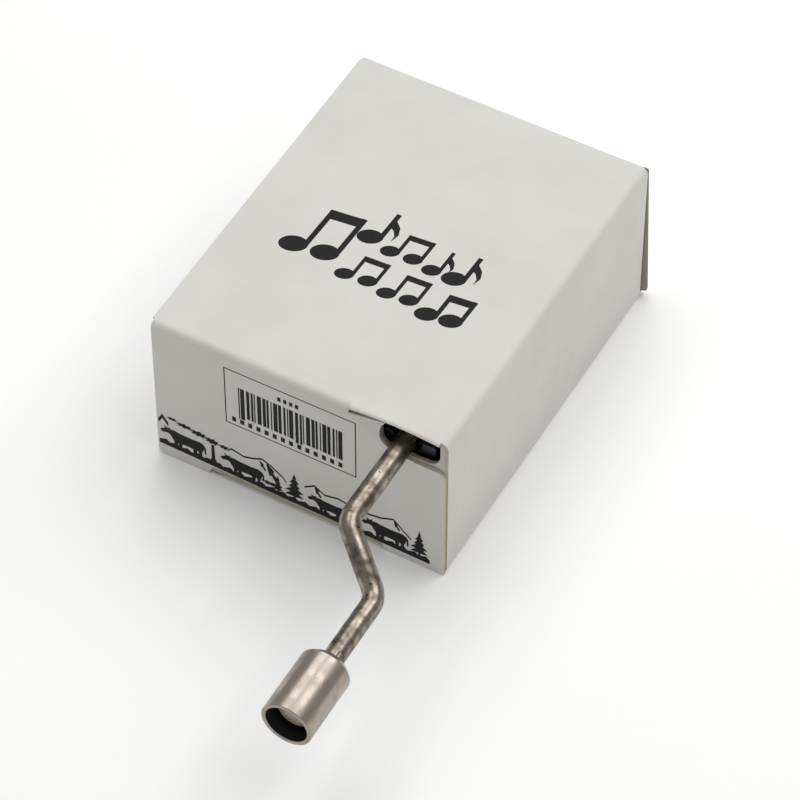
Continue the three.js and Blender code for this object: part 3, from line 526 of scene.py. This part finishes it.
# %% A helper that inks outlines
def inked(name, layers, place):
    """Flat curves from outlines in mm, one layer above the next, made one thin mesh at a place."""
    made = []
    for level, outlines in enumerate(layers):
        fresh()
        curve = bpy.data.curves.new(name, "CURVE")
        curve.dimensions, curve.fill_mode = "2D", "BOTH"
        curve.extrude = (0.012 + 0.004 * level) * MM
        for outline in outlines:
            line = curve.splines.new("POLY")
            line.points.add(len(outline) - 1)
            for point, (u, v) in zip(line.points, outline):
                point.co = (u * MM, v * MM, 0, 1)
            line.use_cyclic_u = True
        layer = bpy.data.objects.new(name, curve)
        bpy.context.collection.objects.link(layer)
        layer.select_set(True)
        bpy.context.view_layer.objects.active = layer
        bpy.ops.object.convert(target="MESH")
        made.append(bpy.context.active_object)
    fresh()
    for layer in made:
        layer.select_set(True)
    bpy.context.view_layer.objects.active = made[0]
    bpy.ops.object.join()
    piece = bpy.context.active_object
    piece.name = piece.data.name = name
    piece.matrix_world = place
    bpy.ops.object.transform_apply(location=True, rotation=True, scale=True)
    bpy.ops.object.mode_set(mode="EDIT")
    bpy.ops.mesh.select_all(action="SELECT")
    bpy.ops.mesh.remove_doubles(threshold=0.0005 * MM)
    bpy.ops.mesh.quads_convert_to_tris()
    bpy.ops.object.mode_set(mode="OBJECT")
    print(name, "has", len(piece.data.polygons), "faces in", len(layers), "layers")
    return piece


on_crank_end = Matrix.Translation((0, end * MM, 0)) @ Matrix.Rotation(math.radians(90), 4, "X")
on_the_top = Matrix.Translation((0, 0, height * MM))

# %% The bar label
def bar(u0, u1, v0, v1):
    return [(u0, v0), (u1, v0), (u1, v1), (u0, v1)]


label = bar(-9.9, 8.0, 11.3, 21.2), bar(-9.75, 7.85, 11.45, 21.05)
bars, at = [], -8.0
for index in range(30):
    thick = 0.16 + 0.13 * ((index * 7) % 4)
    low = 12.95 if index in (0, 1, 14, 15, 28, 29) else 13.4
    bars.append(bar(at, at + thick, low, 18.5))
    at += thick + 0.12 + 0.08 * ((index * 5) % 3)
    if at > 6.4:
        break
blocks = [bar(-9.0 + 1.12 * k, -8.45 + 1.12 * k, 12.0, 12.8) for k in range(14)]
blocks += [bar(-2.6 + 0.8 * k, -2.15 + 0.8 * k, 19.2, 19.9) for k in range(4)]
bar_label = inked("printed_bar_label", [[*label], bars + blocks], on_crank_end)

# %% The alpine border: cattle, firs and peaks
COW = [(0, 1.75), (0.1, 2.05), (0.7, 2.4), (0.5, 2.85), (0.95, 2.55), (1.4, 2.75), (1.3, 2.45),
       (1.9, 2.55), (2.6, 2.4), (4.2, 2.35), (5.3, 2.45), (5.8, 2.2), (6.05, 1.75), (6.1, 0.7),
       (5.88, 0.7), (5.82, 1.5), (5.68, 1.1), (5.5, 0.6), (5.58, 0), (5.12, 0), (5.08, 0.6),
       (4.9, 0.8), (4.8, 0), (4.38, 0), (4.35, 0.7), (3.9, 0.75), (3.0, 0.7), (2.9, 0.6), (2.86, 0),
       (2.46, 0), (2.42, 0.55), (2.32, 0.55), (2.24, 0), (1.84, 0), (1.8, 0.75), (1.5, 1.2), (1.25, 1.6),
       (0.8, 1.7), (0.3, 1.5)]


def ground(u):
    return 2.0 - 0.024 * (u + 19.7)


def cow(u, size):
    return [(u + x * size, ground(u + 3) + 0.62 + y * size) for x, y in COW]


def fir(u, tall, wide, tiers=5):
    left, right = [], []
    for tier in range(tiers):
        low = 0.16 * tall + 0.84 * tall * tier / tiers
        reach = wide * (1 - tier / tiers) * (0.9 + 0.2 * ((tier * 3) % 2))
        inner = 0.42 * wide * (1 - (tier + 1) / tiers) + 0.05
        left += [(-reach, low - 0.06 * tall), (-inner, low + 0.5 * tall / tiers)]
        right += [(0.92 * reach, low - 0.02 * tall), (inner, low + 0.45 * tall / tiers)]
    outline = [(-0.16, 0), (-0.14, 0.1 * tall)] + left + [(0, tall)] + right[::-1]
    return [(u + x, ground(u) + 0.62 + y) for x, y in outline + [(0.14, 0.1 * tall), (0.16, 0)]]


def leafy(u, v, long, deep, phase):
    """A clump of leaves with a ragged outline, drawn out along the border."""
    return [(u + long * r * math.cos(a), ground(u) + v + deep * r * math.sin(a))
            for a, r in ((math.tau * k / 40, 0.8 + 0.2 * math.sin(5.0 * k + phase)) for k in range(40))]


def ridge(points, thick=0.3):
    return [(u, ground(u) + v) for u, v in points] + [
        (u, ground(u) + v - thick) for u, v in reversed(points)]


def shade(u, v, size):
    facet = [(0, 0), (0.8, -0.75), (0.62, -1.0), (1.15, -1.7), (0.9, -2.1), (0.45, -1.35),
             (0.3, -1.55), (0.12, -0.75)]
    return [(u + x * size, ground(u) + v - 0.24 + y * size) for x, y in facet]


band = [(u, ground(u) - 0.1) for u in (-19.6, 17.9)] + [
    (17.9 - 0.5 * k, ground(17.9 - 0.5 * k) + 0.62 + 0.2 * ((k * 5) % 3)) for k in range(76)]
cattle = [cow(-19.4, 1.06), cow(-10.9, 1.0), cow(1.2, 0.9), cow(8.7, 1.04)]
firs = [fir(-2.9, 3.0, 0.8, 4), fir(-0.6, 4.9, 1.5), fir(16.5, 4.7, 1.35)]
trunk = [(u, ground(u) + v) for u, v in (
    (-12.5, 0.6), (-11.3, 0.6), (-11.7, 1.4), (-11.75, 3.9), (-12.15, 3.9), (-12.2, 1.4))]
leaves = [leafy(-12.0, 4.5, 1.1, 0.55, 0), leafy(-13.9, 4.75, 1.3, 0.5, 1), leafy(-15.9, 5.0, 1.3, 0.42, 2),
          leafy(-10.3, 4.4, 0.9, 0.4, 3), leafy(-17.6, 5.3, 0.8, 0.3, 4), leafy(-4.0, 1.5, 1.5, 0.35, 5),
          leafy(6.9, 1.3, 1.2, 0.3, 6)]
ridges = [ridge([(-19.6, 4.4), (-19.0, 5.5), (-18.2, 4.3)], 0.75),
          ridge([(-9.9, 4.4), (-9.3, 4.9), (-7.6, 4.5), (-6.4, 4.9), (-5.0, 5.6),
                 (-3.6, 4.9), (-2.2, 3.9), (-1.7, 3.2)]),
          ridge([(0.8, 4.0), (2.2, 5.0), (3.6, 4.1), (5.4, 4.6), (7.4, 4.2), (9.4, 4.3),
                 (11.2, 4.6), (13.0, 5.4), (14.4, 4.0), (15.4, 3.1)])]
shades = [shade(-5.4, 5.3, 0.8), shade(-4.5, 5.4, 1.5), shade(2.2, 5.0, 0.85), shade(13.0, 5.4, 0.8)]
border = inked("printed_alpine_border", [[band] + shades, ridges + leaves[2:], cattle + firs + [trunk],
                                         leaves[:2]], on_crank_end)

# %% The music notes on the top
def note_head(u, v, size):
    turn = math.radians(22)
    return [(u + size * (1.3 * math.cos(a) * math.cos(turn) - 0.92 * math.sin(a) * math.sin(turn)),
             v + size * (1.3 * math.cos(a) * math.sin(turn) + 0.92 * math.sin(a) * math.cos(turn)))
            for a in (math.tau * k / 28 for k in range(28))]


def stem(u, v, size, top):
    return bar(u + 0.72 * size, u + 1.22 * size, v + 0.2 * size, top)


def beam(u0, u1, size, top0, top1, thick):
    left, right = u0 + 0.72 * size, u1 + 1.22 * size
    return [(left, top0 - thick), (right, top1 - thick), (right, top1), (left, top0)]


def flag(u, top, size):
    x = u + 0.74 * size
    curl = [(0, 0), (0.35, -0.75), (1.2, -1.5), (1.55, -2.4), (1.3, -3.5), (1.25, -2.7), (0.8, -2.1),
            (0, -1.7)]
    return [(x + a * size, top + b * size) for a, b in curl]


notes = [(-11.3, -6.9, 1.4, 0.2), (-7.3, -6.2, 1.4, 0.9), (-4.0, -1.2, 1.25, 3.7),
         (-0.7, -2.0, 0.95, 1.5), (2.3, -1.7, 0.95, 1.9), (5.1, -2.1, 0.95, 1.7), (8.1, -1.9, 1.2, 2.6),
         (-3.5, -7.9, 0.95, -4.2), (-0.5, -7.5, 0.95, -3.9), (2.4, -8.0, 0.95, -4.2),
         (5.3, -7.6, 0.95, -3.9), (8.2, -8.4, 1.15, -4.3), (11.2, -7.9, 1.15, -3.8)]
heads = [note_head(u, v, size) for u, v, size, top in notes]
stems = [stem(u, v, size, top) for u, v, size, top in notes]
joined = [(0, 1, 1.5), (3, 4, 0.85), (7, 8, 0.85), (9, 10, 0.85), (11, 12, 1.1)]
beams = [beam(notes[a][0], notes[b][0], notes[a][2], notes[a][3], notes[b][3], thick)
         for a, b, thick in joined]
flags = [flag(notes[k][0], notes[k][3], notes[k][2]) for k in (2, 5, 6)]
motif = inked("printed_music_notes", [heads, stems, beams + flags],
              on_the_top @ Matrix.Rotation(math.radians(-2), 4, "Z"))

# %% [markdown]
# ## Finishes
# Each finish starts from its real material. One helper adds a node with its settings and
# links, and another turns the hex colours of a paint card into Blender's linear values.

# %% Helpers for node trees
def paint(code):
    parts = [int(code[k:k + 2], 16) / 255 for k in (1, 3, 5)]
    return tuple(c / 12.92 if c <= 0.04045 else ((c + 0.055) / 1.055) ** 2.4 for c in parts) + (1,)


def node(tree, kind, settings=(), links=()):
    """Adds one node. Settings are properties or socket values, and links are sockets' sources."""
    made = tree.nodes.new(kind)
    for name, value in dict(settings).items():
        if isinstance(name, str) and hasattr(made, name):
            setattr(made, name, value)
        else:
            made.inputs[name].default_value = value
    for name, source in dict(links).items():
        tree.links.new(source, made.inputs[name])
    return made


def finish_named(name):
    """An empty material with its shader; returns the material, its tree and the shader."""
    material = bpy.data.materials.new(name)
    material.use_nodes = True
    shader = material.node_tree.nodes["Principled BSDF"]
    return material, material.node_tree, shader


def pattern(tree, size, detail=2.0, stretch=(1, 1, 1), smallest=0.5):
    """Noise on the piece's own coordinates; size is the pattern's grain in mm."""
    place = node(tree, "ShaderNodeTexCoord")
    scaled = node(tree, "ShaderNodeMapping", {"Scale": stretch}, {"Vector": place.outputs["Object"]})
    return node(tree, "ShaderNodeTexNoise",
                {"Scale": 1 / (size * MM), "Detail": detail, "Roughness": smallest},
                {"Vector": scaled.outputs["Vector"]}).outputs["Fac"]


def blend_colours(tree, share, first, second):
    return node(tree, "ShaderNodeMix", {"data_type": "RGBA", 6: paint(first), 7: paint(second)},
                {0: share}).outputs[2]


def span(tree, value, low, high, to_low, to_high):
    return node(tree, "ShaderNodeMapRange", {"From Min": low, "From Max": high,
                "To Min": to_low, "To Max": to_high}, {"Value": value}).outputs["Result"]


def bump(tree, shader, height_map, depth, strength=1.0):
    made = node(tree, "ShaderNodeBump", {"Distance": depth * MM, "Strength": strength},
                {"Height": height_map})
    tree.links.new(made.outputs["Normal"], shader.inputs["Normal"])

# %% [markdown]
# ### Coated carton board
# Greyboard with a clay coating, calendered: off-white, nearly even, with a faint cloudiness
# a few millimetres wide and a soft satin. Its cut edge shows the grey-brown pulp. Where a
# plate of board is one mesh, its edge is told from its face by the way the surface faces.

# %% Card finishes
def card_finish(name, face, cloud, edge=None, plate_axis=None):
    material, tree, shader = finish_named(name)
    colour = blend_colours(tree, span(tree, pattern(tree, 9), 0.35, 0.65, 0, 1), face, cloud)
    if edge:
        pulp = blend_colours(tree, span(tree, pattern(tree, 0.35), 0.3, 0.7, 0, 1), edge[0], edge[1])
        place = node(tree, "ShaderNodeTexCoord")
        axes = node(tree, "ShaderNodeSeparateXYZ", (), {"Vector": place.outputs["Normal"]})
        facing = node(tree, "ShaderNodeMath", {"operation": "ABSOLUTE"}, {0: axes.outputs[plate_axis]})
        on_edge = span(tree, facing.outputs[0], 0.55, 0.75, 1, 0)
        colour = node(tree, "ShaderNodeMix", {"data_type": "RGBA"},
                      {0: on_edge, 6: colour, 7: pulp}).outputs[2]
    tree.links.new(colour, shader.inputs["Base Color"])
    tree.links.new(span(tree, pattern(tree, 2.5), 0.3, 0.7, 0.42, 0.55), shader.inputs["Roughness"])
    shader.inputs["IOR"].default_value = 1.5
    shader.inputs["Specular IOR Level"].default_value = 0.35
    bump(tree, shader, pattern(tree, 0.5, detail=4), 0.02, 0.35)
    return material


PULP = ("#BDB5A2", "#968C79")
coated_card = card_finish("coated carton board, calendered", "#D0CEC9", "#CDCAC5")
coated_upright = card_finish("coated carton board, die cut upright", "#CDCAC3", "#C3C0B8", PULP, "Y")
coated_flat = card_finish("coated carton board, die cut level", "#CDCAC3", "#C3C0B8", PULP, "Z")


def pulp_finish(name, light, dark):
    material, tree, shader = finish_named(name)
    layers = span(tree, pattern(tree, 0.3, stretch=(1, 1, 4)), 0.3, 0.7, 0, 1)
    tree.links.new(blend_colours(tree, layers, light, dark), shader.inputs["Base Color"])
    shader.inputs["Roughness"].default_value = 0.85
    bump(tree, shader, pattern(tree, 0.15), 0.05, 0.6)
    return material


pulp_edge = pulp_finish("greyboard pulp, die cut edge", "#C9C3B3", "#ADA592")
# The rear flap's cut edge is darker than the other cut edges: painted shade of the gap where that flap
# stands off the carton.
rear_edge_painted_shade = pulp_finish("greyboard pulp, cut edge darkened as painted shade", "#8B8172", "#6E6659")
bare_inside = pulp_finish("greyboard, uncoated inside", "#B1A695", "#9E9382")
print("card finishes made")

# %% [markdown]
# ### Printing ink and dried glue
# Offset ink dries nearly matt and a little uneven, so that the card's tooth shows in it.
# The seam's glue has dried to a yellowish, half clear skin.

# %% Ink and glue
ink, tree, shader = finish_named("offset ink, dried matt")
tooth = span(tree, pattern(tree, 0.6, detail=4), 0.35, 0.7, 0, 1)
tree.links.new(blend_colours(tree, tooth, "#09090B", "#121215"), shader.inputs["Base Color"])
shader.inputs["Roughness"].default_value = 0.55
shader.inputs["Specular IOR Level"].default_value = 0.2
bump(tree, shader, pattern(tree, 0.4), 0.01, 0.3)
glue, tree, shader = finish_named("paper glue, dried")
tree.links.new(blend_colours(tree, pattern(tree, 1.5), "#D8CFAE", "#C2B68C"), shader.inputs["Base Color"])
shader.inputs["Roughness"].default_value = 0.35
bump(tree, shader, pattern(tree, 0.8), 0.05, 0.5)

# %% [markdown]
# ### Nickel plate on drawn wire, and on turned work
# Plain nickel is a warm grey with clear but not sharp reflections. The wire was drawn and
# then handled and bent, so its plate is dulled in patches and worn to dark specks. The knob
# was turned: its fine rings run round it and draw each reflection out along its length.

# %% Nickel finishes
def nickel_finish(name, bright, dull, specks, ring_pitch=None):
    material, tree, shader = finish_named(name)
    dulling = span(tree, pattern(tree, 1.8, detail=3), 0.38, 0.66, 0, 1)
    colour = blend_colours(tree, dulling, bright, dull)
    grit = span(tree, pattern(tree, 0.55, detail=3, smallest=0.6), specks, specks + 0.07, 0, 1)
    colour = node(tree, "ShaderNodeMix", {"data_type": "RGBA", 7: paint("#2E2923")},
                  {0: grit, 6: colour}).outputs[2]
    tree.links.new(colour, shader.inputs["Base Color"])
    rough = node(tree, "ShaderNodeMath", {"operation": "MULTIPLY_ADD", 1: 0.16, 2: 0.24}, {0: dulling})
    rough = node(tree, "ShaderNodeMath", {"operation": "MULTIPLY_ADD", 1: 0.35},
                 {0: grit, 2: rough.outputs[0]})
    tree.links.new(rough.outputs[0], shader.inputs["Roughness"])
    shader.inputs["Metallic"].default_value = 1.0
    if ring_pitch:
        rings = pattern(tree, ring_pitch, detail=1, stretch=(0.02, 1, 0.02))
        bump(tree, shader, rings, 0.012, 0.5)
    else:
        bump(tree, shader, pattern(tree, 0.3, detail=3), 0.02, 0.3)
    return material


wire_nickel = nickel_finish("nickel plate on drawn wire, worn", "#A0978A", "#564F46", 0.63)
knob_nickel = nickel_finish("nickel plate, turned", "#A79E93", "#9A9187", 0.8, ring_pitch=0.25)

# The wire's head deep in the knob's bore is coloured bright and only partly metallic: painted light on the
# head.
head_painted_light, tree, shader = finish_named("nickel plate on the head, painted light")
tree.links.new(blend_colours(tree, span(tree, pattern(tree, 0.5), 0.4, 0.6, 0, 1), "#D9D2C0", "#B3AB98"),
               shader.inputs["Base Color"])
shader.inputs["Metallic"].default_value = 0.6
shader.inputs["Roughness"].default_value = 0.5
bump(tree, shader, pattern(tree, 0.35), 0.03, 0.6)
# The bore's wall is near black: painted shade inside the bore.
bore_painted_shade, tree, shader = finish_named("nickel plate in the bore, painted shade")
tree.links.new(blend_colours(tree, pattern(tree, 0.4), "#17171A", "#262529"), shader.inputs["Base Color"])
shader.inputs["Metallic"].default_value = 0.4
shader.inputs["Roughness"].default_value = 0.5
bump(tree, shader, pattern(tree, 0.2, stretch=(1, 0.1, 1)), 0.01, 0.4)
print("nickel finishes made")

# %% [markdown]
# ### The movement's metals
# The bedplate is die-cast zinc, slightly pitted, its grey darkened with painted shade of the
# carton's inside. The cylinder, its discs and the worm wheel are brass, the comb and screws are
# steel, ground or blued a little, and the small weights under the comb's long teeth are lead, soft and
# dull.

# %% Movement finishes
def metal_finish(name, light, dark, rough, grain, stretch=(1, 1, 1), depth=0.01):
    material, tree, shader = finish_named(name)
    mix = span(tree, pattern(tree, grain * 6, detail=3), 0.35, 0.65, 0, 1)
    tree.links.new(blend_colours(tree, mix, light, dark), shader.inputs["Base Color"])
    tree.links.new(span(tree, mix, 0, 1, rough, rough + 0.12), shader.inputs["Roughness"])
    shader.inputs["Metallic"].default_value = 1.0
    bump(tree, shader, pattern(tree, grain, detail=2, stretch=stretch), depth, 0.6)
    return material


# Zinc's own grey, darkened with painted shade of the carton's inside.
zinc_with_painted_shade = metal_finish("zinc, die cast, with painted shade", "#5E6166", "#3E4146", 0.5, 0.35, depth=0.03)
turned_brass = metal_finish("brass, turned", "#D6B36A", "#B48F45", 0.28, 0.2, (1, 0.05, 0.05))
cut_brass = metal_finish("brass, cut teeth", "#CDA960", "#A98443", 0.33, 0.2)
ground_steel = metal_finish("spring steel, ground", "#B4B8BC", "#8F9499", 0.3, 0.12, (1, 0.08, 1))
bright_steel = metal_finish("steel, turned bright", "#C2C4C6", "#999DA1", 0.25, 0.2)
soft_lead = metal_finish("lead, cast and dull", "#7C7F85", "#5F6268", 0.6, 0.3)
moulded_black, tree, shader = finish_named("acetal, moulded black")
tree.links.new(blend_colours(tree, pattern(tree, 0.8), "#1D1D20", "#29292D"), shader.inputs["Base Color"])
shader.inputs["Roughness"].default_value = 0.42
bump(tree, shader, pattern(tree, 0.2), 0.01, 0.4)

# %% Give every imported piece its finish
FINISHES = {
    "seam_glue": glue, "front_tuck_tab": coated_flat, "back_tuck_tab": coated_flat,
    "front_dust_flap_right": coated_upright, "front_dust_flap_left": coated_upright,
    "back_dust_flap_right": coated_upright, "back_dust_flap_left": coated_upright,
    "bedplate": zinc_with_painted_shade, "worm": turned_brass, "thrust_collar": turned_brass,
    "cylinder": turned_brass, "cylinder_disc_left": turned_brass, "cylinder_disc_right": turned_brass,
    "arbor": bright_steel, "worm_wheel": cut_brass, "comb": ground_steel,
    "comb_clamp_bar": bright_steel, "comb_screw_left": bright_steel, "comb_screw_right": bright_steel,
}
for name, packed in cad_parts.items():
    finish = FINISHES.get(name)
    if name.startswith("shaft_bush"):
        finish = moulded_black
    if name.startswith("bush_saddle") or name.startswith("saddle_screw"):
        finish = bright_steel
    if name.startswith("comb_weight"):
        finish = soft_lead
    if finish is None:
        print("to be replaced:", name)
        continue
    for place in packed.material_slots:
        place.material = finish
    if not packed.material_slots:
        packed.data.materials.append(finish)

# %% Give the new pieces theirs
for piece, edge in ((sleeve, pulp_edge), (front_flap, pulp_edge), (back_flap, rear_edge_painted_shade)):
    for number, finish in enumerate((coated_card, edge, bare_inside)):
        piece.data.materials[number] = finish
for piece, finishes in ((wire, (wire_nickel, head_painted_light)), (knob, (knob_nickel, bore_painted_shade)),
                        (bar_label, (ink,)), (border, (ink,)), (motif, (ink,))):
    kept = [face.material_index for face in piece.data.polygons]
    piece.data.materials.clear()
    for finish in finishes:
        piece.data.materials.append(finish)
    piece.data.polygons.foreach_set("material_index", kept if len(finishes) > 1 else [0] * len(kept))

# %% [markdown]
# ## Joining the imported model
# Each folded or turned piece stands for one imported node. The sleeve, the crank end's flap, the wire
# and the knob move with that node's body; the rear flap is fixed where it stands and rides on no
# body. The prints stand for no node and ride on the carton.

# %% Ride and replace
for piece, stands_for, body, slot in (
        (sleeve, "carton_sleeve", "carton", "card"), (front_flap, "front_flap", "carton", "card"),
        (wire, "crank_wire", "crank", "nickel"), (knob, "knob", "knob", "nickel")):
    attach(piece, body)
    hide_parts(stands_for)
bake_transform(back_flap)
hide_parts("back_flap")
for print_piece in (bar_label, border, motif):
    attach(print_piece, "carton")

# %% [markdown]
# ## Floor and light
# A plain pale floor and soft light: two large panels high above and a little behind, which
# make the top the brightest face, a narrow strip at the right, and an even white surround
# that fills the shaded sides.

# %% Lay the floor
fresh()
bpy.ops.mesh.primitive_plane_add(size=6, location=(0, 0, -0.02 * MM))
floor = bpy.context.active_object
floor.name = "studio_floor"
pale, tree, shader = finish_named("pale studio board, matt")
tree.links.new(blend_colours(tree, pattern(tree, 60), "#FBFBFA", "#F8F8F7"), shader.inputs["Base Color"])
shader.inputs["Roughness"].default_value = 0.9
shader.inputs["Specular IOR Level"].default_value = 0.1
floor.data.materials.append(pale)

# %% Light it
def light(name, place, width, length, power):
    """A panel that faces the object, its length along Y."""
    bpy.ops.object.light_add(type="AREA", location=place)
    made = bpy.context.active_object
    made.name = name
    made.data.shape, made.data.size, made.data.size_y = "RECTANGLE", width, length
    made.data.energy = power
    facing = Vector(place).normalized()
    across = Vector((0, 1, 0)).cross(facing).normalized()
    made.matrix_world = Matrix.Translation(place) @ Matrix(
        (across, facing.cross(across), facing)).transposed().to_4x4()
    return made


light("left panel above", (-0.20, 0.22, 0.60), 0.36, 0.80, 1.95)
light("right panel above", (0.24, 0.22, 0.60), 0.36, 0.80, 1.95)
light("narrow strip at the right", (0.40, 0.05, 0.53), 0.04, 0.60, 0.16)
SURROUND = 0.42
world = bpy.data.worlds.new("white surround")
world.use_nodes = True
world.node_tree.nodes["Background"].inputs["Color"].default_value = (1, 1, 1, 1)
world.node_tree.nodes["Background"].inputs["Strength"].default_value = SURROUND
bpy.context.scene.world = world
bpy.context.scene.view_settings.view_transform = "Standard"
